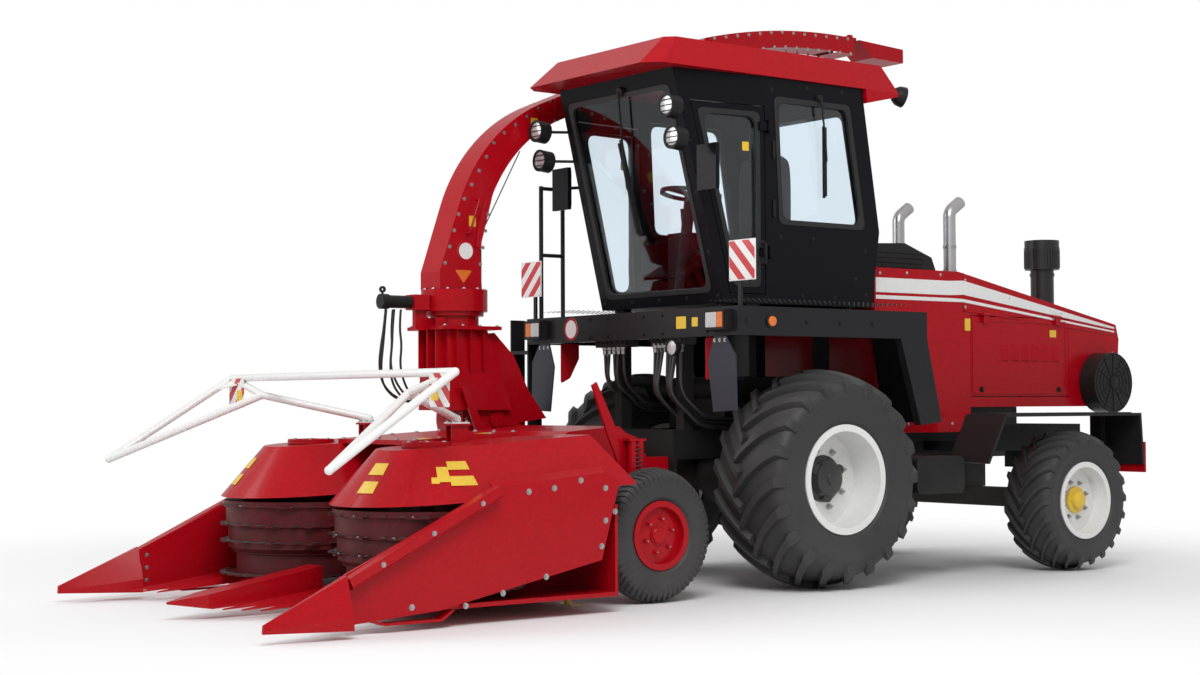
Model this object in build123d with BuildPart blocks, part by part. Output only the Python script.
"""Self-propelled forage harvester with a front rotary header, chopper, spout, cab and engine bay.

The machine faces -Y, its left side is +X and +Z is up.  The origin is on the ground under the
middle of the whole machine.  All lengths are in millimetres.
"""
from build123d import *
import math
import os

os.makedirs("parts", exist_ok=True)

# ---------------------------------------------------------------- driving dimensions
front_overhang = 4340  # divider tips ahead of the drive axle
rear_overhang = 3600  # bonnet end behind the drive axle
wheelbase = 2400
platform_half_width = 1163
cab_half_width = 700
header_half_width = 1310
roof_top_z = 3640

drive_axle_y = (front_overhang - rear_overhang) / 2
rear_axle_y = drive_axle_y + wheelbase

running_gap = 0.3  # pins, spindles and shafts in their bores
seat_gap = 0.3  # a loose piece on the surface that carries it
door_gap = 6  # round a door or hatch in its opening
sides = [("left", 1), ("right", -1)]


# ---------------------------------------------------------------- shared shapes
def block(x, y, z, mode=Mode.ADD):
    """A box between the low and high ends of x, y and z."""
    with Locations(((x[0] + x[1]) / 2, (y[0] + y[1]) / 2, (z[0] + z[1]) / 2)):
        Box(x[1] - x[0], y[1] - y[0], z[1] - z[0], mode=mode)


def profile_yz(points, x, mode=Mode.ADD):
    """A side profile of (y, z) points, extruded from x[0] to x[1]."""
    with BuildSketch(Plane.YZ.offset(x[0])) as outline:
        with BuildLine():
            Polyline(*points, close=True)
        make_face()
    extrude(outline.sketch, amount=x[1] - x[0], mode=mode)


def profile_xz(points, y, mode=Mode.ADD):
    """A front profile of (x, z) points, extruded from y[0] to y[1]."""
    with BuildSketch(Plane.XZ.offset(-y[1])) as outline:
        with BuildLine():
            Polyline(*points, close=True)
        make_face()
    extrude(outline.sketch, amount=y[1] - y[0], mode=mode)


def profile_xy(points, z, mode=Mode.ADD):
    """A plan of (x, y) points, extruded from z[0] to z[1]."""
    with BuildSketch(Plane.XY.offset(z[0])) as outline:
        with BuildLine():
            Polyline(*points, close=True)
        make_face()
    extrude(outline.sketch, amount=z[1] - z[0], mode=mode)


def rod(start, end, radius, mode=Mode.ADD):
    """A round bar from start to end."""
    run = Vector(*end) - Vector(*start)
    with BuildSketch(Plane(origin=start, z_dir=run)) as section:
        Circle(radius)
    extrude(section.sketch, amount=run.length, mode=mode)


def bent_tube(points, radius, bend):
    """A round tube along straight runs joined by arcs."""
    with BuildLine() as path:
        FilletPolyline(*points, radius=bend)
    with BuildSketch(Plane(origin=path.line @ 0, z_dir=path.line % 0)) as section:
        Circle(radius)
    sweep(section.sketch, path=path.line)


def wheel_plane(side, y, z):
    """Half-plane of a wheel: local x runs outboard from the middle, local y is the radius."""
    return Plane(origin=(0, y, z), x_dir=(side, 0, 0), z_dir=(0, -side, 0))


def save(piece, label):
    """Label a finished sub-part and write its STEP file."""
    piece.part.label = label
    export_step(piece.part, f"parts/{label}.step")


# ---------------------------------------------------------------- wheels
# mid: middle plane from the centre line, width: section width, radius: outside,
# bead: bead seat radius, flange: rim flange radius, seat: half the width between the flanges,
# disc: plane of the rim's disc from the middle plane, hub: hub radius, nose: how far it stands out,
# spindle: spindle radius
drive = dict(mid=925, width=650, radius=730, bead=330, flange=363, seat=270,
             disc=30, hub=105, nose=70, spindle=62, y=drive_axle_y)
steer = dict(mid=1050, width=410, radius=515, bead=254, flange=281, seat=178,
             disc=60, hub=80, nose=45, spindle=42, y=rear_axle_y)
gauge = dict(mid=960, width=214, radius=419, bead=190, flange=215, seat=82,
             disc=50, hub=62, nose=18, spindle=30, y=drive_axle_y - 1440)
rim_wall = 12
disc_wall = 16


def tyre_section(side, wheel):
    """Section of a tyre: two bulged sidewalls, rounded shoulders and a slightly crowned tread."""
    mid, half, top = wheel["mid"], wheel["width"] / 2, wheel["radius"]
    bead = wheel["bead"] + seat_gap
    heel = wheel["seat"] - seat_gap
    lip = wheel["flange"] + seat_gap
    shoulder = top - 0.17 * (top - bead)
    belly = bead + 0.52 * (top - bead)
    tread = 0.9 * half
    with BuildSketch(wheel_plane(side, wheel["y"], top)) as section:
        with BuildLine():
            ThreePointArc((mid - heel, lip), (mid - half, belly), (mid - tread, shoulder))
            ThreePointArc((mid - tread, shoulder), (mid, top), (mid + tread, shoulder))
            ThreePointArc((mid + tread, shoulder), (mid + half, belly), (mid + heel, lip))
            Polyline((mid + heel, lip), (mid + heel, bead), (mid - heel, bead), (mid - heel, lip))
        make_face()
    return section.sketch


def rim_section(side, wheel):
    """Section of a rim: a drop centre barrel with two flanges, a dished disc and its hub."""
    mid, bead, flange, seat = wheel["mid"], wheel["bead"], wheel["flange"], wheel["seat"]
    edge = seat + rim_wall
    disc, hub, nose, spindle = wheel["disc"], wheel["hub"], wheel["nose"], wheel["spindle"]
    bore = spindle + running_gap
    inner = bead - rim_wall
    with BuildSketch(wheel_plane(side, wheel["y"], wheel["radius"])) as section:
        with BuildLine():
            Polyline(
                (mid - edge, flange), (mid - seat, flange), (mid - seat, bead), (mid + seat, bead),
                (mid + seat, flange), (mid + edge, flange), (mid + edge, inner), (mid + disc, inner),
                (mid + disc + nose / 2, hub), (mid + disc + nose, hub),
                (mid + disc + nose, bore), (mid + disc - nose, bore), (mid + disc - nose, hub),
                (mid + disc - disc_wall, hub), (mid + disc - disc_wall - nose / 2, inner),
                (mid - edge, inner), close=True)
        make_face()
    return section.sketch


for wheel_name, wheel in [("drive", drive), ("rear", steer), ("gauge", gauge)]:
    for side_name, side in sides:
        axle = Axis((0, wheel["y"], wheel["radius"]), (1, 0, 0))
        with BuildPart() as tyre:
            revolve(tyre_section(side, wheel), axis=axle)
        save(tyre, f"{side_name}_{wheel_name}_tyre")
        with BuildPart() as rim:
            revolve(rim_section(side, wheel), axis=axle)
        save(rim, f"{side_name}_{wheel_name}_rim")


# ---------------------------------------------------------------- chassis and axles
rail_x = (300, 380)
rail_z = (860, 1060)
rail_y = (drive_axle_y - 760, drive_axle_y + 3380)
platform_z = (1668, 1854)
deck_thickness = 14
platform_front_y = drive_axle_y - 900
cab_base_z = 1903
hitch_y = rail_y[1] + 140
hitch_z = (rail_z[0] - 140, rail_z[0] - 110)
hitch_pin_r = 16
post_stations = [drive_axle_y - 700, drive_axle_y + 560]
cross_stations = [drive_axle_y - 300, drive_axle_y + 1100, drive_axle_y + 2900]

with BuildPart() as chassis_frame:
    for side_name, side in sides:
        rail = sorted((side * rail_x[0], side * rail_x[1]))
        block(rail, rail_y, rail_z)
        for station in post_stations:
            block(rail, (station, station + 90), (rail_z[1], platform_z[1] - deck_thickness))
    for station in cross_stations:
        block((-rail_x[0], rail_x[0]), (station, station + 80), (rail_z[0] + 30, rail_z[1] - 30))
    block((-rail_x[1], rail_x[1]), (rail_y[0] - 30, rail_y[0]), (rail_z[0] - 160, rail_z[1]))
    block((-rail_x[1], rail_x[1]), (rail_y[1], rail_y[1] + 30), (rail_z[0] - 160, rail_z[1]))
    block((-70, 70), (rail_y[1] + 30, hitch_y + 45), hitch_z)
    rod((0, hitch_y, hitch_z[0] - 1), (0, hitch_y, hitch_z[1] + 1), hitch_pin_r, mode=Mode.SUBTRACT)
save(chassis_frame, "chassis_frame")

drive_axle_z = drive["radius"]
hub_inner = drive["mid"] + drive["disc"] - drive["nose"]
with BuildPart() as drive_axle:
    rod((-560, drive_axle_y, drive_axle_z), (560, drive_axle_y, drive_axle_z), 115)
    with Locations((0, drive_axle_y, drive_axle_z)):
        Sphere(210)
    block((-250, 250), (drive_axle_y - 250, drive_axle_y + 250), (rail_z[0], 1000), mode=Mode.SUBTRACT)
    for side_name, side in sides:
        drop = sorted((side * 520, side * 600))
        block(drop, (drive_axle_y - 190, drive_axle_y + 190), (drive_axle_z - 190, drive_axle_z + 190))
        pad = sorted((side * rail_x[0], side * rail_x[1]))
        block(pad, (drive_axle_y - 110, drive_axle_y + 110), (drive_axle_z, rail_z[0]))
        rod((side * 590, drive_axle_y, drive_axle_z), (side * (hub_inner - 8), drive_axle_y, drive_axle_z),
            110)
        rod((side * 590, drive_axle_y, drive_axle_z),
            (side * (drive["mid"] + drive["disc"] + drive["nose"] - 10), drive_axle_y, drive_axle_z),
            drive["spindle"])
save(drive_axle, "drive_axle")

kingpin_x = 760
steer_z = steer["radius"]
fork_z = 78  # half the gap between the axle fork's lugs
with BuildPart() as rear_axle:
    block((-620, 620), (rear_axle_y - 75, rear_axle_y + 75), (steer_z - 70, steer_z + 70))
    block((-180, 180), (rear_axle_y - 110, rear_axle_y + 110), (steer_z + 70, rail_z[0]))
    block((-rail_x[1], rail_x[1]), (rear_axle_y - 110, rear_axle_y + 110), (rail_z[0] - 40, rail_z[0]))
    for side_name, side in sides:
        for lug in (-1, 1):
            plate = sorted((steer_z + lug * fork_z, steer_z + lug * (fork_z + 32)))
            block(sorted((side * 560, side * (kingpin_x + 45))), (rear_axle_y - 55, rear_axle_y + 55), plate)
        rod((side * kingpin_x, rear_axle_y, steer_z - fork_z - 40),
            (side * kingpin_x, rear_axle_y, steer_z + fork_z + 40), 26)
        web = sorted((side * 560, side * 620))
        block(web, (rear_axle_y - 55, rear_axle_y + 55), (steer_z - fork_z - 32, steer_z + fork_z + 32))
save(rear_axle, "rear_axle")

for side_name, side in sides:
    with BuildPart() as knuckle:
        rod((side * kingpin_x, rear_axle_y, steer_z - fork_z + 5),
            (side * kingpin_x, rear_axle_y, steer_z + fork_z - 5), 58)
        rod((side * (kingpin_x + 40), rear_axle_y, steer_z),
            (side * (steer["mid"] + steer["disc"] - steer["nose"] - 8), rear_axle_y, steer_z), 62)
        rod((side * (kingpin_x + 40), rear_axle_y, steer_z),
            (side * (steer["mid"] + steer["disc"] + steer["nose"] - 10), rear_axle_y, steer_z),
            steer["spindle"])
        block(sorted((side * (kingpin_x - 90), side * (kingpin_x - 20))),
              (rear_axle_y + 30, rear_axle_y + 190), (steer_z - 40, steer_z - 10))
        rod((side * kingpin_x, rear_axle_y, steer_z - 200), (side * kingpin_x, rear_axle_y, steer_z + 200),
            26 + running_gap, mode=Mode.SUBTRACT)
    save(knuckle, f"{side_name}_knuckle")

engine_y = (drive_axle_y + 1250, drive_axle_y + 2650)
with BuildPart() as engine_block:
    block((-rail_x[1], rail_x[1]), engine_y, (rail_z[1], 1850))
save(engine_block, "engine_block")


# ---------------------------------------------------------------- bonnet and rear bodywork
body_x = 620
body_wall = 25
body_front_y = drive_axle_y + 867
body_rear_y = drive_axle_y + rear_overhang
body_top_z = 2200
band_y = drive_axle_y + 1740  # where the bonnet's top starts to slope down
tail_top_z = 1846
tail_foot_z = 1200
skirt_z = 1017
skirt_rear_y = drive_axle_y + 1860
hatch_y = (drive_axle_y + 1865, drive_axle_y + 2985)
hatch_z = (1274, 1880)
hinge_r = 6
hinge_out = 20  # hatch hinge pin centre outside the body side
screen_y = drive_axle_y + 3338
screen_z = 1383
screen_r = 235
screen_depth = 140
screen_shaft = 34


def body_outline(inset, foot_z):
    """Side profile of the bonnet, moved in by inset, open below foot_z."""
    return [(body_front_y + inset, foot_z), (body_rear_y - 60 - inset, foot_z),
            (body_rear_y - 20 - inset, 1500), (body_rear_y - inset, 1730),
            (body_rear_y - 35 - inset, tail_top_z - inset), (band_y, body_top_z - inset),
            (body_front_y + inset, body_top_z - inset)]


with BuildPart() as body_shell:
    profile_yz(body_outline(0, tail_foot_z), (-body_x, body_x))
    block((-body_x, body_x), (body_front_y, skirt_rear_y), (skirt_z, tail_foot_z))
    profile_yz(body_outline(body_wall, skirt_z - 10), (-body_x + body_wall, body_x - body_wall),
               mode=Mode.SUBTRACT)
    block((-rail_x[1] - 10, rail_x[1] + 10), (body_front_y - 1, body_front_y + body_wall + 1),
          (skirt_z - 1, rail_z[1]), mode=Mode.SUBTRACT)
    block((-body_x - 1, body_x + 1), hatch_y, hatch_z, mode=Mode.SUBTRACT)
    rod((body_x - 60, screen_y, screen_z), (body_x + 1, screen_y, screen_z), screen_shaft, mode=Mode.SUBTRACT)
    for side_name, side in sides:
        for station in (hatch_y[0] + 150, hatch_y[1] - 150):
            pin = (side * (body_x + hinge_out), hatch_z[1] + 8)
            rod((pin[0], station - 50, pin[1]), (pin[0], station + 50, pin[1]), hinge_r)
            for ear in (-50, 32):
                block(sorted((side * body_x, pin[0])), (station + ear, station + ear + 18),
                      (pin[1] - 6, pin[1] + 6))
save(body_shell, "body_shell")

for side_name, side in sides:
    with BuildPart() as hatch:
        block(sorted((side * (body_x - body_wall), side * body_x)),
              (hatch_y[0] + door_gap, hatch_y[1] - door_gap), (hatch_z[0] + door_gap, hatch_z[1] - door_gap))
        for station in (hatch_y[0] + 150, hatch_y[1] - 150):
            pin = (side * (body_x + hinge_out), hatch_z[1] + 8)
            block(sorted((side * (body_x - 2), side * (body_x + hinge_out))), (station - 28, station + 28),
                  (pin[1] - 60, pin[1] - 40))
            block(sorted((side * (body_x + hinge_out - 6), side * (body_x + hinge_out + 6))),
                  (station - 28, station + 28), (pin[1] - 60, pin[1]))
            rod((pin[0], station - 28, pin[1]), (pin[0], station + 28, pin[1]), hinge_r + 6)
            rod((pin[0], station - 60, pin[1]), (pin[0], station + 60, pin[1]), hinge_r + running_gap,
                mode=Mode.SUBTRACT)
    save(hatch, f"{side_name}_side_hatch")

grille_profile = [
    (drive_axle_y + 880, body_top_z), (drive_axle_y + 940, 2370), (drive_axle_y + 1068, 2392),
    (drive_axle_y + 1358, 2405), (drive_axle_y + 1640, 2310), (drive_axle_y + 1690, body_top_z),
]
with BuildPart() as engine_grille:
    profile_yz(grille_profile, (-450, 450))
save(engine_grille, "engine_grille")

with BuildPart() as screen_drum:
    rod((body_x + 6, screen_y, screen_z), (body_x + 6 + screen_depth, screen_y, screen_z), screen_r)
    rod((body_x - 50, screen_y, screen_z), (body_x + 6, screen_y, screen_z), screen_shaft - running_gap)
save(screen_drum, "screen_drum")

bonnet_slope = (body_top_z - tail_top_z) / (body_rear_y - 35 - band_y)
exhaust_x = 267
exhaust_y = drive_axle_y + 2036
exhaust_r = 47

with BuildPart() as exhaust_pipes:
    for side_name, side in sides:
        bent_tube([(side * exhaust_x, exhaust_y, 2060), (side * exhaust_x, exhaust_y, 2690),
                   (side * exhaust_x, exhaust_y + 120, 2770)], exhaust_r, 80)
        split(bisect_by=Plane(origin=(0, band_y, body_top_z + 0.1),
                              z_dir=(0, bonnet_slope, 1)), keep=Keep.TOP)
save(exhaust_pipes, "exhaust_pipes")

intake_x = 250
intake_y = drive_axle_y + 3126
with BuildPart() as air_intake:
    rod((intake_x, intake_y, 1800), (intake_x, intake_y, 2300), 91)
    rod((intake_x, intake_y, 2287), (intake_x, intake_y, 2519), 136)
    split(bisect_by=Plane(origin=(0, band_y, body_top_z + 0.1),
                          z_dir=(0, bonnet_slope, 1)), keep=Keep.TOP)
save(air_intake, "air_intake")


# ---------------------------------------------------------------- platform, fenders and guards
beam_wall = 60
leg_rear_y = drive_axle_y + 825
leg_foot_y = drive_axle_y + 963
mount_r = 60
with BuildPart() as platform:
    block((-platform_half_width, platform_half_width), (platform_front_y, platform_front_y + beam_wall),
          platform_z)
    block((-platform_half_width, platform_half_width), (platform_front_y + beam_wall, leg_rear_y),
          (platform_z[1] - deck_thickness, platform_z[1]))
    for side_name, side in sides:
        outer = sorted((side * (platform_half_width - beam_wall), side * platform_half_width))
        block(outer, (platform_front_y + beam_wall, leg_rear_y),
              (platform_z[0], platform_z[1] - deck_thickness))
        profile_yz([(leg_rear_y - 257, platform_z[0]), (leg_rear_y, platform_z[0]),
                    (leg_foot_y, 1100), (leg_foot_y - 209, 1080)], outer)
        sheet = sorted((side * (body_x + 20), side * (platform_half_width - beam_wall)))
        profile_yz([(leg_rear_y - 40, platform_z[1] - deck_thickness),
                    (leg_rear_y, platform_z[1] - deck_thickness),
                    (leg_foot_y, 1100), (leg_foot_y - 40, 1095)], sheet)
        for station in (drive_axle_y - 480, drive_axle_y + 620):
            rod((side * 560, station, platform_z[1]), (side * 560, station, cab_base_z), mount_r)
save(platform, "platform")

with BuildPart() as hydraulic_unit:
    block((-rail_x[1], rail_x[1]), (drive_axle_y - 160, drive_axle_y + 420), (rail_z[1], 1420))
    rod((-430, drive_axle_y - 260, 1330), (430, drive_axle_y - 260, 1330), 62)
    block((-300, 300), (drive_axle_y - 270, drive_axle_y - 150), (rail_z[1], 1300))
save(hydraulic_unit, "hydraulic_unit")

flap_x = 970
flap_gap = 0.3
with BuildPart() as mud_flaps:
    for side_name, side in sides:
        outline = [(-60, platform_z[0] - flap_gap), (60, platform_z[0] - flap_gap), (150, 1540), (160, 1190),
                   (-70, 1180), (-120, 1500)]
        profile_xz([(side * (flap_x + x), z) for x, z in outline],
                   (platform_front_y + 15, platform_front_y + 25))
save(mud_flaps, "mud_flaps")

fender_x = (820, platform_half_width + 30)
fender_y = (drive_axle_y + 1591, drive_axle_y + 3120)
fender_z = 1150
arm_z = (rail_z[0] + 20, rail_z[0] + 90)
with BuildPart() as rear_fenders:
    for side_name, side in sides:
        span = sorted((side * fender_x[0], side * fender_x[1]))
        profile_yz([(fender_y[0], fender_z), (fender_y[1], fender_z), (fender_y[1] + 30, 760),
                    (fender_y[1] + 10, 760), (fender_y[1] - 20, fender_z - 20),
                    (fender_y[0] + 10, fender_z - 20), (fender_y[0] - 175, 800), (fender_y[0] - 195, 810)],
                    span)
        for station in (fender_y[0] + 20, fender_y[1] - 90):
            block(sorted((side * rail_x[1], side * (fender_x[0] + 60))), (station, station + 60), arm_z)
            block(sorted((side * (fender_x[0] - 40), side * (fender_x[0] + 60))), (station, station + 60),
                  (arm_z[0], fender_z - 20))
save(rear_fenders, "rear_fenders")

rear_plate_z = (700, 930)
with BuildPart() as rear_plates:
    for side_name, side in sides:
        block(sorted((side * 900, side * fender_x[1])), (fender_y[1] + 30, fender_y[1] + 48), rear_plate_z)
save(rear_plates, "rear_plates")

tank_y = (drive_axle_y + 800, drive_axle_y + 1280)
tank_z = (600, 860)
with BuildPart() as fuel_tank:
    for side_name, side in sides:
        block(sorted((side * rail_x[1], side * 1080)), tank_y, tank_z)
    fillet(fuel_tank.edges().filter_by(Axis.X), 50)
    for side_name, side in sides:
        block(sorted((side * rail_x[0], side * rail_x[1])), (tank_y[0] + 100, tank_y[1] - 100),
              (tank_z[1] - 80, tank_z[1]))
save(fuel_tank, "fuel_tank")


# ---------------------------------------------------------------- cab
cab_wall = 45
cab_top_z = 3443
side_taper = 0.1  # the side walls close in towards the windscreen, per unit of length
pillar_y = drive_axle_y - 240  # rear edge of the doors
screen_foot_y = drive_axle_y - 588
screen_head_y = drive_axle_y - 989
screen_lean = (screen_head_y - screen_foot_y) / (cab_top_z - cab_base_z)
cab_rear_y = [drive_axle_y + 760, drive_axle_y + 840, drive_axle_y + 680]
cab_waist_z = 2440


def wall_x(y):
    """Half-width of the cab's outside at y."""
    return cab_half_width - max(0, pillar_y - y) * side_taper


def cab_plan(inset, front):
    """Plan of the cab: parallel walls, closing in ahead of the rear door edge."""
    half = cab_half_width - inset
    nose = wall_x(front) - inset
    return [(nose, front), (half, pillar_y), (half, max(cab_rear_y) + 20),
            (-half, max(cab_rear_y) + 20), (-half, pillar_y), (-nose, front)]


def cab_side_view(inset):
    """Side profile of the cab, moved in by inset."""
    return [(screen_foot_y + inset, cab_base_z), (cab_rear_y[0] - inset, cab_base_z),
            (cab_rear_y[1] - inset, cab_waist_z), (cab_rear_y[2] - inset, cab_top_z),
            (screen_head_y + inset, cab_top_z)]


with BuildPart() as cab_space:
    profile_xy(cab_plan(cab_wall, screen_head_y - 60), (cab_base_z, cab_top_z))
    profile_yz(cab_side_view(cab_wall), (-cab_half_width, cab_half_width), mode=Mode.INTERSECT)
    block((-cab_half_width, cab_half_width), (screen_head_y - 60, max(cab_rear_y)),
          (cab_base_z, cab_base_z + cab_wall), mode=Mode.SUBTRACT)


def door_plane(side):
    """Outside of a cab door: local x runs forward from the rear door edge, local y is height."""
    angle = math.atan(side_taper)
    return Plane(origin=(side * cab_half_width, pillar_y, 0),
                 x_dir=(-side * math.sin(angle), -math.cos(angle), 0),
                 z_dir=(-math.cos(angle), side * math.sin(angle), 0))


door_foot_z = 1965
door_knee_z = 2200
door_head_z = 3240


def door_outline(inset):
    """Door outline in its plane: upright at the rear, leaning with the windscreen at the front."""
    return [(inset, door_foot_z + inset), (300 - inset, door_foot_z + inset), (345 - inset, door_knee_z),
            (612 - inset, door_head_z - inset), (inset, door_head_z - inset)]


def door_prism(side, inset, depth, mode):
    """The door's outline moved in by inset, from depth[0] to depth[1] inside the outer face."""
    with BuildSketch(door_plane(side).offset(side * depth[0])) as outline:
        with BuildLine():
            Polyline(*door_outline(inset), close=True)
        make_face()
    extrude(outline.sketch, amount=side * (depth[1] - depth[0]), mode=mode)


def shrunk(points, gap):
    """An outline pulled in by gap towards its middle, corner by corner."""
    middle = [sum(point[axis] for point in points) / len(points) for axis in (0, 1)]
    return [tuple(value - math.copysign(gap, value - centre) for value, centre in zip(point, middle))
            for point in points]


side_window = [(drive_axle_y - 140, 3300), (drive_axle_y + 540, 3300), (drive_axle_y + 680, 2460),
               (drive_axle_y - 100, 2460)]
rear_window = [(-520, 2480), (520, 2480), (500, 3300), (-500, 3300)]
screen_window = [(-560, 1990), (560, 1990), (545, 3330), (-545, 3330)]
hinge_heights = (2250, 3100)
hinge_pin_r = 9
barrel_r = 17
hinge_stand = 26  # door hinge pin centre outside the cab side
hinge_back = 20  # and behind the rear door edge

with BuildPart() as cab_frame:
    profile_xy(cab_plan(0, screen_head_y - 60), (cab_base_z, cab_top_z))
    profile_yz(cab_side_view(0), (-cab_half_width, cab_half_width), mode=Mode.INTERSECT)
    add(cab_space.part, mode=Mode.SUBTRACT)
    profile_xz(screen_window, (screen_head_y - 100, screen_foot_y + 150), mode=Mode.SUBTRACT)
    profile_xz(rear_window, (drive_axle_y + 600, drive_axle_y + 1000), mode=Mode.SUBTRACT)
    profile_yz(side_window, (-cab_half_width - 10, cab_half_width + 10), mode=Mode.SUBTRACT)
    for side_name, side in sides:
        door_prism(side, 0, (-20, cab_wall + 10), Mode.SUBTRACT)
        for height in hinge_heights:
            pin = (side * (cab_half_width + hinge_stand), pillar_y + hinge_back)
            rod((*pin, height - 44), (*pin, height + 44), hinge_pin_r)
            for ear in (height - 44, height + 30):
                block(sorted((side * (cab_half_width - 2), side * (cab_half_width + hinge_stand))),
                      (pillar_y + hinge_back - 6, pillar_y + hinge_back + 20), (ear, ear + 14))
save(cab_frame, "cab_frame")

glass_wall = 8
glass_depth = 18  # outer face of the panes behind the outer face of the walls
glass_fit = 0.5
rear_slope = (cab_rear_y[2] - cab_rear_y[1]) / (cab_top_z - cab_waist_z)

with BuildPart() as screen_pane:
    profile_yz([(screen_foot_y + glass_depth, cab_base_z), (screen_head_y + glass_depth, cab_top_z),
                (screen_head_y + glass_depth + glass_wall, cab_top_z),
                (screen_foot_y + glass_depth + glass_wall, cab_base_z)], (-600, 600))
    profile_xz(shrunk(screen_window, glass_fit), (screen_head_y - 100, screen_foot_y + 100),
               mode=Mode.INTERSECT)
with BuildPart() as rear_pane:
    rear_glass_y = cab_rear_y[1] - glass_depth
    head_y = rear_glass_y + rear_slope * (cab_top_z - cab_waist_z)
    profile_yz([(rear_glass_y, cab_waist_z), (head_y, cab_top_z), (head_y - glass_wall, cab_top_z),
                (rear_glass_y - glass_wall, cab_waist_z)], (-540, 540))
    profile_xz(shrunk(rear_window, glass_fit), (drive_axle_y + 600, drive_axle_y + 1000), mode=Mode.INTERSECT)
with BuildPart() as cab_glass:
    add(screen_pane.part)
    add(rear_pane.part)
    for side_name, side in sides:
        pane = sorted((side * (cab_half_width - glass_depth - glass_wall),
                       side * (cab_half_width - glass_depth)))
        profile_yz(shrunk(side_window, glass_fit), pane)
save(cab_glass, "cab_glass")

door_rail = 60  # width of the door's frame round its pane
for side_name, side in sides:
    with BuildPart() as door:
        door_prism(side, door_gap, (0, cab_wall - 5), Mode.ADD)
        door_prism(side, door_rail, (-5, cab_wall + 5), Mode.SUBTRACT)
        for height in hinge_heights:
            pin = (side * (cab_half_width + hinge_stand), pillar_y + hinge_back)
            rod((*pin, height - 28), (*pin, height + 28), barrel_r)
            block(sorted((side * (cab_half_width + hinge_stand - 14),
                          side * (cab_half_width + hinge_stand - 4))),
                  (pillar_y - 60, pillar_y + hinge_back), (height - 28, height + 28))
            block(sorted((side * (cab_half_width - 12), side * (cab_half_width + hinge_stand - 4))),
                  (pillar_y - 60, pillar_y - 20), (height - 28, height + 28))
            rod((*pin, height - 60), (*pin, height + 60), hinge_pin_r + running_gap, mode=Mode.SUBTRACT)
    save(door, f"{side_name}_door")
    with BuildPart() as pane:
        door_prism(side, door_rail + glass_fit, (glass_depth, glass_depth + glass_wall), Mode.ADD)
    save(pane, f"{side_name}_door_glass")

roof_front_y = drive_axle_y - 1250
roof_rear_y = drive_axle_y + 1020
roof_half_width = 725
with BuildPart() as cab_roof:
    with BuildSketch(Plane.XY.offset(cab_top_z)):
        with BuildLine():
            Polyline((-620, roof_front_y), (620, roof_front_y), (roof_half_width, roof_front_y + 110),
                     (roof_half_width, roof_rear_y), (-roof_half_width, roof_rear_y),
                     (-roof_half_width, roof_front_y + 110), close=True)
        make_face()
    with BuildSketch(Plane.XY.offset(roof_top_z)):
        with BuildLine():
            Polyline((-590, roof_front_y + 220), (590, roof_front_y + 220), (650, roof_front_y + 280),
                     (650, roof_rear_y - 100), (-650, roof_rear_y - 100), (-650, roof_front_y + 280),
                     close=True)
        make_face()
    loft(ruled=True)
    profile_yz([(cab_rear_y[2] + 15, cab_top_z), (cab_rear_y[2] + 30, 3345), (roof_rear_y, 3415),
                (roof_rear_y, cab_top_z)], (-roof_half_width, roof_half_width))
save(cab_roof, "cab_roof")

seat_y = drive_axle_y + 150
cab_floor_z = cab_base_z + cab_wall
cushion_z = (cab_floor_z + 320, cab_floor_z + 430)
with BuildPart() as cab_controls:
    block((-190, 190), (seat_y - 160, seat_y + 200), (cab_floor_z, cushion_z[0]))
    block((-500, -300), (seat_y - 260, seat_y + 260), (cab_floor_z, cab_floor_z + 520))
    rod((-400, seat_y - 180, cab_floor_z + 510), (-400, seat_y - 200, cab_floor_z + 700), 18)
    column_foot = (0, drive_axle_y - 420, cab_floor_z - 2)
    column_head = (0, drive_axle_y - 310, cab_floor_z + 740)
    rod(column_foot, column_head, 40)
    block((-50, 50), (drive_axle_y - 470, drive_axle_y - 370), (cab_floor_z, cab_floor_z + 30))
    wheel_tilt = Plane(origin=column_head, z_dir=Vector(*column_head) - Vector(*column_foot))
    with BuildSketch(wheel_tilt) as steering_wheel:
        Circle(215)
        Circle(190, mode=Mode.SUBTRACT)
        Rectangle(400, 40)
        Circle(50)
    extrude(steering_wheel.sketch, amount=25)
    block((-60, 60), (drive_axle_y - 480, drive_axle_y - 360), (cab_floor_z - 60, cab_floor_z),
          mode=Mode.SUBTRACT)
save(cab_controls, "cab_controls")

with BuildPart() as seat_cushion:
    block((-240, 240), (seat_y - 260, seat_y + 230), (cushion_z[0] + seat_gap, cushion_z[1]))
    profile_yz([(seat_y + 150, cushion_z[1]), (seat_y + 230, cushion_z[1]),
                (seat_y + 330, cab_floor_z + 1050), (seat_y + 230, cab_floor_z + 1060)], (-230, 230))
save(seat_cushion, "seat_cushion")


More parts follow.
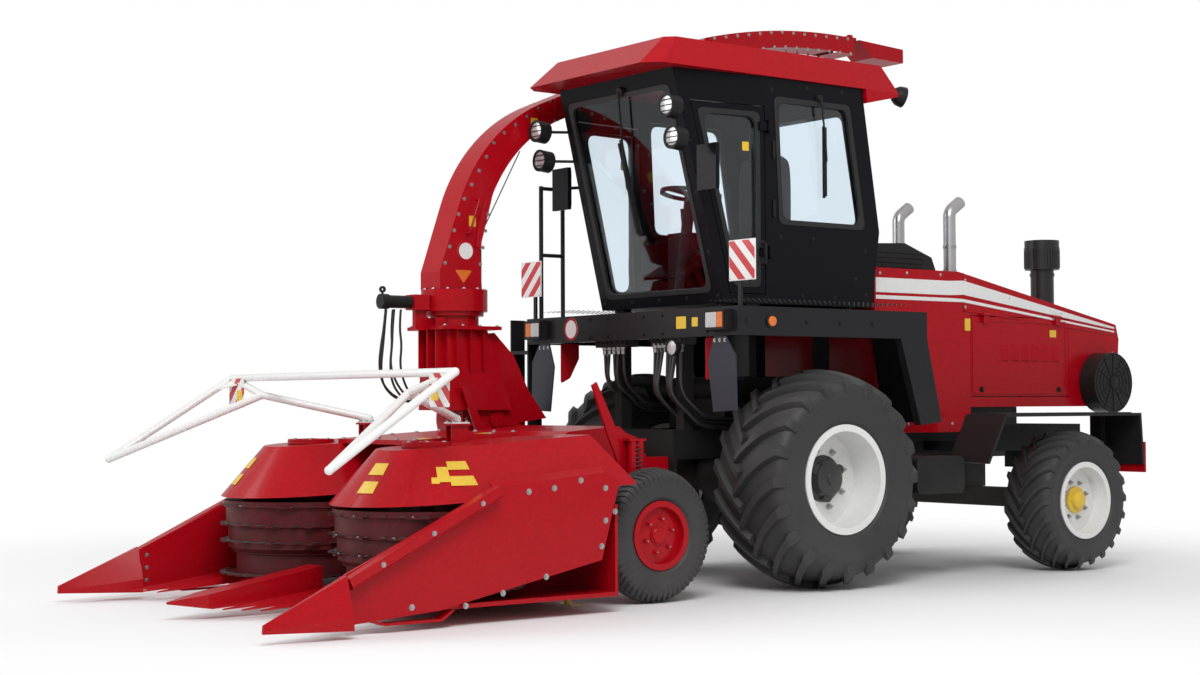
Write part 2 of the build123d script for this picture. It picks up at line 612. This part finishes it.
# ---------------------------------------------------------------- ladder, mirrors, lamps, boards
post_x = -1130
post_stations_y = (drive_axle_y - 795, drive_axle_y - 600)
rail_top_z = 2830
rail_r = 16
board_x = (1040, 1288)
board_y = drive_axle_y - 863
board_z = (2015, 2275)
board_wall = 8
with BuildPart() as ladder_and_rails:
    for y in post_stations_y:
        rod((post_x, y, platform_z[1]), (post_x, y, rail_top_z), rail_r)
    for z in (2324, rail_top_z - rail_r):
        rod((post_x, post_stations_y[0], z), (post_x, post_stations_y[1], z), rail_r - 2)
    for side_name, side in sides:
        block(sorted((side * 1115, side * 1145)), (board_y + board_wall, board_y + board_wall + 16),
              (platform_z[1], board_z[1] - 20))
    for rung_z in (700, 1000, 1300, 1600):
        block((-platform_half_width - 230, -platform_half_width),
              (platform_front_y + 10, platform_front_y + 130),
              (rung_z, rung_z + 25))
    for x in (-platform_half_width - 230, -platform_half_width - 15):
        block((x, x + 15), (platform_front_y + 10, platform_front_y + 130), (700, platform_z[1]))
save(ladder_and_rails, "ladder_and_rails")

with BuildPart() as lamps:
    for side_name, side in sides:
        block(sorted((side * 906, side * 1106)), (platform_front_y - 60, platform_front_y), (1700, 1836))
        for x, y, z in [(728, -1077, 3162), (738, -1040, 2958)]:
            lamp_y = drive_axle_y + y
            rod((side * x, lamp_y - 40, z), (side * x, lamp_y + 40, z - 8), 76)
            foot_y = screen_foot_y + screen_lean * (z - cab_base_z) + 12
            rod((side * x, lamp_y + 30, z), (side * (wall_x(foot_y) + 9), foot_y, z), 10)
save(lamps, "lamps")

mirror_y = drive_axle_y - 840
with BuildPart() as mirrors:
    for side_name, side in sides:
        block(sorted((side * 715, side * 905)), (mirror_y - 15, mirror_y + 15), (2625, 2925))
        foot_y = screen_foot_y + screen_lean * (2775 - cab_base_z) + 12
        rod((side * 720, mirror_y, 2775), (side * (wall_x(foot_y) + 4.2), foot_y, 2775), 11)
save(mirrors, "mirrors")

with BuildPart() as warning_boards:
    for side_name, side in sides:
        block(sorted((side * board_x[0], side * board_x[1])), (board_y, board_y + board_wall), board_z)
save(warning_boards, "warning_boards")


# ---------------------------------------------------------------- chopper and gauge wheel carrier
spout_x = -980
spout_y = drive_axle_y - 1647
feed_front_y = drive_axle_y - 1935
carrier_y = gauge["y"]
carrier_z = gauge["radius"]
flange_z = 1750
ring_z = (1879, 2031)
ring_r = 232
frame_front_y = rail_y[0] - 30
lift_y = feed_front_y - 25
lift_z = 900
lift_pin_r = 10

with BuildPart() as chopper_housing:
    profile_yz([(feed_front_y, 420), (drive_axle_y - 1500, 400), (drive_axle_y - 1120, 480),
                (drive_axle_y - 1080, 900), (drive_axle_y - 1300, 1090), (drive_axle_y - 1700, 1060),
                (feed_front_y, 960)], (-640, 450))
    for side_name, side in sides:
        block(sorted((side * 240, side * 320)), (drive_axle_y - 1100, frame_front_y), (720, 880))
        block(sorted((side * 140, side * 170)), (lift_y - 22, feed_front_y), (lift_z - 30, lift_z + 25))
        rod((side * 95, lift_y, lift_z), (side * 170, lift_y, lift_z), lift_pin_r)
save(chopper_housing, "chopper_housing")

carrier_top_z = 720
spring_x = 798
spring_r = 28
spring_top_z = 1000
with BuildPart() as gauge_carrier:
    for side_name, side in sides:
        inner = 450 if side > 0 else -640
        block(sorted((inner, side * 830)), (carrier_y - 60, carrier_y + 60),
              (carrier_top_z - 120, carrier_top_z))
        block(sorted((side * 780, side * 830)), (carrier_y - 60, carrier_y + 60),
              (carrier_z - 60, carrier_top_z - 120))
        rod((side * 800, carrier_y, carrier_z),
            (side * (gauge["mid"] + gauge["disc"] + gauge["nose"] - 6), carrier_y, carrier_z),
            gauge["spindle"])
        plate = [(carrier_y - 50, carrier_top_z - 20), (carrier_y + 50, carrier_top_z - 20),
                 (carrier_y + 50, spring_top_z + 20),
                 (carrier_y - 120, 1080), (carrier_y - 270, 1370), (carrier_y - 305, 1350),
                 (carrier_y - 180, 1030), (carrier_y - 110, 880)]
        profile_yz(plate, sorted((side * 735, side * 753)))
        block(sorted((side * 735, side * 826.5)), (carrier_y - 68, carrier_y + 64),
              (spring_top_z, spring_top_z + 14))
        for along in (-30, 30):
            rod((side * spring_x, carrier_y + along, carrier_top_z),
                (side * spring_x, carrier_y + along, spring_top_z),
                spring_r)
save(gauge_carrier, "gauge_carrier")

blower_y = drive_axle_y - 1400
blower_z = 1135
blower_r = 265
blower_x = (-1190, -850)
fin_wall = 10
with BuildPart() as spout_base:
    rod((blower_x[0], blower_y, blower_z), (blower_x[1], blower_y, blower_z), blower_r)
    rod((blower_x[1], blower_y, blower_z), (blower_x[1] + 22, blower_y, blower_z), blower_r - 70)
    rod((blower_x[1] + 22, blower_y, blower_z), (blower_x[1] + 40, blower_y, blower_z), 60)
    block((blower_x[1] - 20, -640), (drive_axle_y - 1365, drive_axle_y - 1285), (1040, 1090))
    with BuildSketch(Plane.XY.offset(blower_z + 60)) as foot:
        with Locations((spout_x, spout_y + 90)):
            Rectangle(400, 520)
    with BuildSketch(Plane.XY.offset(flange_z)) as top:
        with Locations((spout_x, spout_y)):
            Rectangle(330, 330)
    loft([foot.sketch, top.sketch], ruled=True)
    profile_yz([(spout_y + 150, 1715), (spout_y + 235, 1735), (spout_y + 400, 1575), (spout_y + 520, 1340),
                (spout_y + 680, 1135), (spout_y + 400, 1100), (spout_y + 200, 1400)],
               (spout_x - 150, spout_x + 150))
    for across in (-110, 0, 110):
        for face in (1, -1):
            edge = spout_x + face * 165
            profile_yz([(spout_y + across - fin_wall / 2, 1480), (spout_y + across + fin_wall / 2, 1480),
                        (spout_y + across + fin_wall / 2, flange_z),
                        (spout_y + across - fin_wall / 2, flange_z)],
                       sorted((edge - face * 20, edge + face * 50)))
    for across in (-110, 0, 110):
        block((spout_x + across - fin_wall / 2, spout_x + across + fin_wall / 2),
              (spout_y - 225, spout_y - 140), (1440, flange_z))
        block((spout_x + across - fin_wall / 2, spout_x + across + fin_wall / 2),
              (spout_y - 225, spout_y - 140), (flange_z + 25, ring_z[0] - 45))
    block((spout_x - 238, spout_x + 238), (spout_y - 238, spout_y + 238), (flange_z, flange_z + 25))
    rod((spout_x, spout_y, flange_z + 25), (spout_x, spout_y, ring_z[0]), 170)
    rod((spout_x, spout_y, ring_z[0] - 30), (spout_x, spout_y, ring_z[0]), 205)
    block((spout_x - 20, spout_x + 20), (spout_y - 330, spout_y - 240), (flange_z, 1905))
    block((spout_x - 20, spout_x + 20), (spout_y - 245, spout_y - 225), (flange_z, 1840))
    block((spout_x - 60, spout_x + 60), (spout_y - 360, spout_y - 240), (1885, 1990))
    block((spout_x - 90, spout_x + 90), (spout_y - 225, spout_y - 120), (1210, 1290))
save(spout_base, "spout_base")

motor_z = 1938
motor_r = 44
motor_y = (spout_y - 600, spout_y - 360)
with BuildPart() as turning_motor:
    rod((spout_x, motor_y[0], motor_z), (spout_x, motor_y[1], motor_z), motor_r)
    rod((spout_x, motor_y[0], motor_z), (spout_x, motor_y[0] + 60, motor_z), motor_r + 8)
    with BuildSketch(Plane.YZ.offset(spout_x - 10)) as eye:
        with Locations((motor_y[0] + 20, motor_z + motor_r + 38)):
            Circle(22)
            Circle(10, mode=Mode.SUBTRACT)
    extrude(eye.sketch, amount=20)
    rod((spout_x, motor_y[0] + 20, motor_z + 30), (spout_x, motor_y[0] + 20, motor_z + motor_r + 18), 8)
save(turning_motor, "turning_motor")

# hose: offset across the motor, where it leaves the motor, how far it sags forward, where it is clamped
hose_r = 8
hoses = [dict(out=-34, leave=70, sag=26, clamp=-72), dict(out=-14, leave=110, sag=8, clamp=-36),
         dict(out=8, leave=40, sag=38, clamp=0), dict(out=26, leave=150, sag=-6, clamp=36),
         dict(out=38, leave=90, sag=18, clamp=72)]
with BuildPart() as motor_hoses:
    for hose in hoses:
        x, y, end = spout_x + hose["out"], motor_y[0] + hose["leave"], spout_x + hose["clamp"]
        reach = motor_r + 8
        points = [(x, y, motor_z - reach - 1), (x - 4, y - 10, 1765), (x + 3, y - hose["sag"], 1640),
                  (x - 6, y - hose["sag"] - 12, 1500), (end - 3, y - hose["sag"] + 20, 1370),
                  (end + 4, y + 90, 1275), (end, spout_y - 300, 1248), (end, spout_y - 225.3, 1250)]
        runs = [(Vector(*b) - Vector(*a)).length for a, b in zip(points, points[1:])]
        radii = []
        for corner in range(1, len(points) - 1):
            before = Vector(*points[corner]) - Vector(*points[corner - 1])
            after = Vector(*points[corner + 1]) - Vector(*points[corner])
            turn = math.radians(before.get_angle(after))
            radii.append(0.45 * min(runs[corner - 1], runs[corner]) / math.tan(turn / 2))
        print("motor hose bend radii", [round(radius) for radius in radii])
        with BuildLine() as route:
            FilletPolyline(*points, radius=radii)
        with BuildSketch(Plane(origin=route.line @ 0, z_dir=route.line % 0)) as section:
            Circle(hose_r)
        sweep(section.sketch, path=route.line)
save(motor_hoses, "motor_hoses")


# ---------------------------------------------------------------- spout
spout_half_width = 125
spout_wall = 6
mouth_depth = 260
# where the spout's three lengths are bolted together: distance behind the ring's centre, height of the floor
spout_joints = [(790, 3268), (2250, 3894)]
flap_pivot = (spout_y + 3812, 4232)
flap_pin_r = 8
with BuildPart() as spout:
    rod((spout_x, spout_y, ring_z[0] + seat_gap), (spout_x, spout_y, ring_z[1]), ring_r)
    with BuildSketch(Plane.YZ.offset(spout_x - spout_half_width)) as side_view:
        with BuildLine():
            outer = [(spout_y + d, z) for d, z in [
                (-198, ring_z[1]), (-198, 2153), (-42, 2614), (260, 3112), (691, 3400),
                (2221, 4040), (2980, 4180), (3800, 4210)]]
            inner = [(spout_y + d, z) for d, z in [
                (3800, 4074), (2980, 4045), (2260, 3898), (760, 3255), (430, 3020), (251, 2740),
                (133, 2317), (149, ring_z[1])]]
            Polyline(*outer[0:3])
            ThreePointArc(outer[2], outer[3], outer[4])
            Line(outer[4], outer[5])
            ThreePointArc(outer[5], outer[6], outer[7])
            Line(outer[7], inner[0])
            ThreePointArc(inner[0], inner[1], inner[2])
            Line(inner[2], inner[3])
            ThreePointArc(inner[3], inner[4], inner[5])
            Polyline(inner[5], inner[6], inner[7], outer[0])
        make_face()
    extrude(side_view.sketch, amount=2 * spout_half_width)
    for edge in (-1, 1):
        with BuildSketch(Plane.YZ.offset(spout_x + edge * spout_half_width)) as rail:
            with BuildLine():
                ThreePointArc((spout_y + 133, 2320), (spout_y + 330, 2880), (spout_y + 760, 3255))
                Line((spout_y + 760, 3255), (spout_y + 745, 3300))
                ThreePointArc((spout_y + 745, 3300), (spout_y + 291, 2905), (spout_y + 88, 2330))
                Line((spout_y + 88, 2330), (spout_y + 133, 2320))
            make_face()
        extrude(rail.sketch, amount=edge * 16)
    block((spout_x - spout_half_width + spout_wall, spout_x + spout_half_width - spout_wall),
          (spout_y + 3800 - mouth_depth, spout_y + 3801), (4074 + spout_wall, 4200), mode=Mode.SUBTRACT)
    for inner_d, inner_z in spout_joints:
        profile_yz([(spout_y + inner_d + 5, inner_z - 10), (spout_y + inner_d - 74, inner_z + 155),
                    (spout_y + inner_d - 74 + seat_gap, inner_z + 155),
                    (spout_y + inner_d + 5 + seat_gap, inner_z - 10)],
                   (spout_x - spout_half_width - 1, spout_x + spout_half_width + 1), mode=Mode.SUBTRACT)
    for ear in (-90, 70):
        block((spout_x + ear, spout_x + ear + 20), (flap_pivot[0] - 40, flap_pivot[0] + 5),
              (4195, flap_pivot[1] + 12))
    rod((spout_x - 80, *flap_pivot), (spout_x + 80, *flap_pivot), flap_pin_r)
save(spout, "spout")

cylinder_y = spout_y + 200
cylinder_r = 24
with BuildPart() as spout_cylinder:
    rod((spout_x, cylinder_y, 2070), (spout_x, cylinder_y, 2330), cylinder_r)
    rod((spout_x, cylinder_y, 2330), (spout_x, cylinder_y, 2440), 10)
    block((spout_x - 12, spout_x + 12), (cylinder_y - 20, cylinder_y + 20), (ring_z[1] + seat_gap, 2072))
    block((spout_x - 12, spout_x + 12), (cylinder_y - 12, cylinder_y + 40), (2430, 2450))
    rod((spout_x, cylinder_y + 30, 2445), (spout_x, spout_y + 560, 3050), 4)
save(spout_cylinder, "spout_cylinder")

flap_end_y = spout_y + 4367
with BuildPart() as spout_flap:
    profile_yz([(flap_pivot[0] + 45, 4203), (flap_end_y, 4178), (flap_end_y, 4064),
                (flap_pivot[0] + 200, 4072)],
               (spout_x - spout_half_width, spout_x + spout_half_width))
    block((spout_x - 66, spout_x + 66), (flap_pivot[0] - 6, flap_pivot[0] + 70),
          (flap_pivot[1] - 10, flap_pivot[1]))
    block((spout_x - 66, spout_x + 66), (flap_pivot[0] + 50, flap_pivot[0] + 70), (4190, flap_pivot[1]))
    rod((spout_x - 66, *flap_pivot), (spout_x + 66, *flap_pivot), flap_pin_r + 7)
    rod((spout_x - 80, *flap_pivot), (spout_x + 80, *flap_pivot), flap_pin_r + running_gap,
        mode=Mode.SUBTRACT)
save(spout_flap, "spout_flap")


# ---------------------------------------------------------------- header
drum_x = 703
drum_y = drive_axle_y - 2923
header_rear_y = drive_axle_y - 1965
side_wall = 20
floor_z = (100, 125)
rotor_shaft = 45
rotor_top_z = 635
hood_low = dict(z=690, r=571, rear=drive_axle_y - 1800, step=header_rear_y - 20)
hood_high = dict(z=990, r=302, rear=drive_axle_y - 1950, step=header_rear_y - 120)
hood_tilt = math.radians(3.4)  # the hoods rise to the rear
hood_step_x = 690  # inboard of this the hoods stop ahead of the rear wall
hood_skin = 12
stand_x = 727
stand_y = header_rear_y + 40
stand_r = 20
stand_sleeve_z = (330, 480)
panel_crest = [(drive_axle_y - 2850, 763), (drive_axle_y - 2073, 834)]
side_panel = [(drive_axle_y - 3790, 60), (drive_axle_y - 3814, 330), *panel_crest,
              (header_rear_y, 773), (drive_axle_y - 2098, 320), (drive_axle_y - 3219, floor_z[0])]
skid_y = (drive_axle_y - 3568, drive_axle_y - 3120)

with BuildPart() as header_frame:
    inner_x = header_half_width - side_wall
    block((-inner_x, inner_x), (drum_y - 350, header_rear_y), floor_z)
    block((-inner_x, inner_x), (header_rear_y - 20, header_rear_y), (floor_z[1], 640))
    block((-440, 440), (header_rear_y - 20, header_rear_y), (640, 740))
    block((-430, 350), (header_rear_y - 21, header_rear_y + 1), (320, 690), mode=Mode.SUBTRACT)
    for side_name, side in sides:
        rod((side * drum_x, drum_y, floor_z[1]), (side * drum_x, drum_y, rotor_top_z + 5), rotor_shaft)
        profile_yz(side_panel, sorted((side * inner_x, side * header_half_width)))
        fold = []
        for y, z in panel_crest:
            with BuildSketch(Plane.XZ.offset(-y)) as section:
                with BuildLine():
                    Polyline((side * header_half_width, z - 10), (side * header_half_width, z),
                             (side * (header_half_width - 70), z + 34),
                             (side * (header_half_width - 70), z + 24),
                             (side * (header_half_width - 14), z - 10), close=True)
                make_face()
            fold.append(section.sketch)
        loft(fold, ruled=True)
        profile_yz([(skid_y[0] - 60, 60), (skid_y[0], 40), (skid_y[1] - 80, 40), (skid_y[1], 96),
                    (skid_y[1] - 12, 100), (skid_y[1] - 90, 54), (skid_y[0], 54), (skid_y[0] - 60, 74)],
                   sorted((side * (header_half_width - 80), side * header_half_width)))
        block(sorted((side * 100, side * 134)), (header_rear_y - 20, lift_y + 17), (700, lift_z + 20))
        rod((side * 90, lift_y, lift_z), (side * 140, lift_y, lift_z), lift_pin_r + running_gap,
            mode=Mode.SUBTRACT)
    block((stand_x - 35, stand_x + 35), (header_rear_y, stand_y + 35), stand_sleeve_z)
    rod((stand_x, stand_y, 0), (stand_x, stand_y, 700), stand_r + running_gap, mode=Mode.SUBTRACT)
save(header_frame, "header_frame")


def hood_sketch(side, level, inset, lower):
    """Plan of a hood: round ahead of the drum, straight to the rear, stepped beside the throat."""
    plane = Plane(origin=(0, drum_y, level["z"] - lower), x_dir=(1, 0, 0),
                  z_dir=(0, -math.sin(hood_tilt), math.cos(hood_tilt)))
    radius = level["r"] - inset
    rear = level["rear"] - drum_y - inset
    step = level["step"] - drum_y - inset
    inner, outer = side * (drum_x - radius), side * (drum_x + radius)
    with BuildSketch(plane) as plan:
        with BuildLine():
            ThreePointArc((inner, 0), (side * drum_x, -radius), (outer, 0))
            Polyline((outer, 0), (outer, rear), (side * (hood_step_x + inset), rear),
                     (side * (hood_step_x + inset), step), (inner, step), (inner, 0))
        make_face()
    return plan.sketch


def hood_top(y):
    """Height of the hoods' top at y."""
    return hood_high["z"] + (y - drum_y) * math.tan(hood_tilt)


bar_r = 24
bar_corner = (header_half_width + 56, drive_axle_y - 3154, 1415)
bar_tip = (header_half_width + 131, drive_axle_y - 3984, 893)
bar_inner = (900, drive_axle_y - 3170, 1300)
bar_foot = (520, drive_axle_y - 2596)
bar_foot_z = hood_top(bar_foot[1]) + 110
cover_y = (drum_y + 60, hood_high["step"] - 10)
cover_wall = 26
with BuildPart() as header_hoods:
    for side_name, side in sides:
        loft([hood_sketch(side, hood_low, 0, 0), hood_sketch(side, hood_high, 0, 0)], ruled=True)
    for side_name, side in sides:
        loft([hood_sketch(side, hood_low, hood_skin, 1), hood_sketch(side, hood_high, hood_skin, hood_skin)],
             ruled=True, mode=Mode.SUBTRACT)
        rod((side * drum_x, drum_y, rotor_top_z + 5), (side * drum_x, drum_y, hood_high["z"] - 5),
            rotor_shaft - 5)
        rod((side * drum_x, drum_y, hood_high["z"] - 5), (side * drum_x, drum_y, hood_high["z"] + 22), 150)
        for foot in (-38, 26):
            block(sorted((side * (bar_foot[0] + foot), side * (bar_foot[0] + foot + 12))),
                  (bar_foot[1] - 60, bar_foot[1] + 60), (hood_top(bar_foot[1]) - 6, bar_foot_z - 12))
        block(sorted((side * (bar_foot[0] - 55), side * (bar_foot[0] + 55))),
              (bar_foot[1] - 70, bar_foot[1] + 70), (bar_foot_z - 12, bar_foot_z))
    profile_yz([(cover_y[0], hood_top(cover_y[0]) - 2), (cover_y[1], hood_top(cover_y[1]) - 2),
                (cover_y[1], hood_top(cover_y[1]) + cover_wall),
                (cover_y[0], hood_top(cover_y[0]) + cover_wall)],
               (-455, 455))
save(header_hoods, "header_hoods")

# ring: height, radius over the hooks, radius at their roots, hooks round it
rotor_rings = [
    dict(z=596, tip=578, root=548, hooks=9),
    dict(z=478, tip=578, root=540, hooks=14),
    dict(z=372, tip=578, root=530, hooks=14),
    dict(z=170, tip=578, root=556, hooks=36),
]
ring_wall = 10


def toothed_ring(side, ring):
    """Plan of a ring whose hooks lean the way the rotor turns."""
    pitch = math.radians(360 / ring["hooks"])
    lean = side * pitch * 0.16
    span = pitch * 0.24
    base, tip = ring["root"] - 8, ring["tip"]
    corners = [(base, -span), (tip, lean - span / 3), (tip, lean + span / 3), (base, span)]
    hook = [(radius * math.cos(angle), radius * math.sin(angle)) for radius, angle in corners]
    with BuildSketch(Plane.XY.offset(ring["z"])) as plan:
        with Locations((side * drum_x, drum_y)):
            Circle(ring["root"])
            with PolarLocations(0, ring["hooks"]):
                Polygon(*hook, align=None)
    return plan.sketch


for side_name, side in sides:
    with BuildPart() as rotor:
        with BuildSketch(Plane(origin=(side * drum_x, drum_y, 0), x_dir=(1, 0, 0), z_dir=(0, -1, 0))) as half:
            with BuildLine():
                bore = rotor_shaft + running_gap
                Polyline((bore, 170), (470, 170), (470, 300), (520, 340), (525, 470), (538, 480), (538, 590),
                         (552, 600), (552, rotor_top_z), (bore, rotor_top_z), close=True)
            make_face()
        revolve(half.sketch, axis=Axis((side * drum_x, drum_y, 0), (0, 0, 1)))
        for ring in rotor_rings:
            extrude(toothed_ring(side, ring), amount=ring_wall)
        rod((side * drum_x, drum_y, 100), (side * drum_x, drum_y, rotor_top_z + 1), rotor_shaft + running_gap,
            mode=Mode.SUBTRACT)
    save(rotor, f"{side_name}_rotor")

tip_y = drive_axle_y - front_overhang
tube_foot = (drive_axle_y - 3815, 285)
tube_head = (drive_axle_y - 2850, 745)
with BuildPart() as dividers:
    for side_name, side in sides:
        edge = side * header_half_width
        with BuildSketch(Plane.XZ.offset(3830 - drive_axle_y)) as root:
            with BuildLine():
                Polyline((edge - side * 60, 45), (edge + side * 130, 45), (edge + side * 126, 120),
                         (edge + side * 50, 330), (edge + side * 10, 330), (edge - side * 58, 130), close=True)
            make_face()
        with BuildSketch(Plane.XZ.offset(-tip_y)) as tip:
            with BuildLine():
                Polyline((edge + side * 68, 60), (edge + side * 84, 60), (edge + side * 84, 75),
                         (edge + side * 78, 106), (edge + side * 74, 106), (edge + side * 68, 75), close=True)
            make_face()
        loft([root.sketch, tip.sketch], ruled=True)
        tube_x = side * (header_half_width + seat_gap + 36)
        run = Vector(tube_x, *tube_head) - Vector(tube_x, *tube_foot)
        with BuildSketch(Plane(origin=(tube_x, *tube_foot), x_dir=(1, 0, 0), z_dir=run)) as bar:
            with BuildLine():
                Polyline((-36, -34), (-36, 18), (-14, 38), (14, 38), (36, 18), (36, -34), close=True)
            make_face()
        extrude(bar.sketch, amount=run.length)
    profile_yz([(drive_axle_y - 4240, 108), (drive_axle_y - 4235, 96), (drive_axle_y - 3990, 60),
                (drum_y - 350, floor_z[0]), (drum_y - 350, 270)], (-85, 85))
    for side_name, side in sides:
        profile_xy([(0, drive_axle_y - 4245), (side * 90, drive_axle_y - 4245),
                    (side * 90, drive_axle_y - 4000)],
                   (40, 200), mode=Mode.SUBTRACT)
save(dividers, "dividers")

# finger: distance from the centre line, tip and root behind the tips of the dividers
fingers = [dict(x=190, tip=360), dict(x=290, tip=430), dict(x=390, tip=500),
           dict(x=header_half_width - 300, tip=500), dict(x=header_half_width - 200, tip=430),
           dict(x=header_half_width - 110, tip=400)]
finger_root_y = drum_y - 350
with BuildPart() as stalk_lifters:
    for side_name, side in sides:
        for finger in fingers:
            with BuildSketch(Plane.XZ.offset(-(finger_root_y - 0.01))) as root:
                with BuildLine():
                    x = side * finger["x"]
                    Polyline((x - 34, 100), (x + 34, 100), (x, 158), close=True)
                make_face()
            with BuildSketch(Plane.XZ.offset(-(tip_y + finger["tip"]))) as point:
                with BuildLine():
                    Polyline((x - 4, 62), (x + 4, 62), (x, 70), close=True)
                make_face()
            loft([root.sketch, point.sketch], ruled=True)
save(stalk_lifters, "stalk_lifters")

with BuildPart() as guide_bar:
    for side_name, side in sides:
        corner = (side * bar_corner[0], *bar_corner[1:])
        tip = (side * bar_tip[0], *bar_tip[1:])
        knee = (side * bar_inner[0], *bar_inner[1:])
        foot = (side * bar_foot[0], bar_foot[1], bar_foot_z + bar_r + 3)
        rod(corner, tip, bar_r)
        rod(knee, tip, bar_r)
        rod(knee, foot, bar_r)
        rod(knee, corner, bar_r)
        for joint in (corner, tip, knee, foot):
            with Locations(joint):
                Sphere(bar_r + 1)
        block(sorted((side * (bar_foot[0] - 50), side * (bar_foot[0] + 50))),
              (bar_foot[1] - 60, bar_foot[1] + 60), (bar_foot_z, bar_foot_z + 8))
    rod((-bar_corner[0], *bar_corner[1:]), bar_corner, bar_r)
save(guide_bar, "guide_bar")

with BuildPart() as parking_stand:
    rod((stand_x, stand_y, 8), (stand_x, stand_y, 560), stand_r)
    rod((stand_x, stand_y, stand_sleeve_z[1]), (stand_x, stand_y, stand_sleeve_z[1] + 12), stand_r + 12)
    block((stand_x - 80, stand_x + 80), (stand_y - 30, stand_y + 60), (0, 8))
save(parking_stand, "parking_stand")
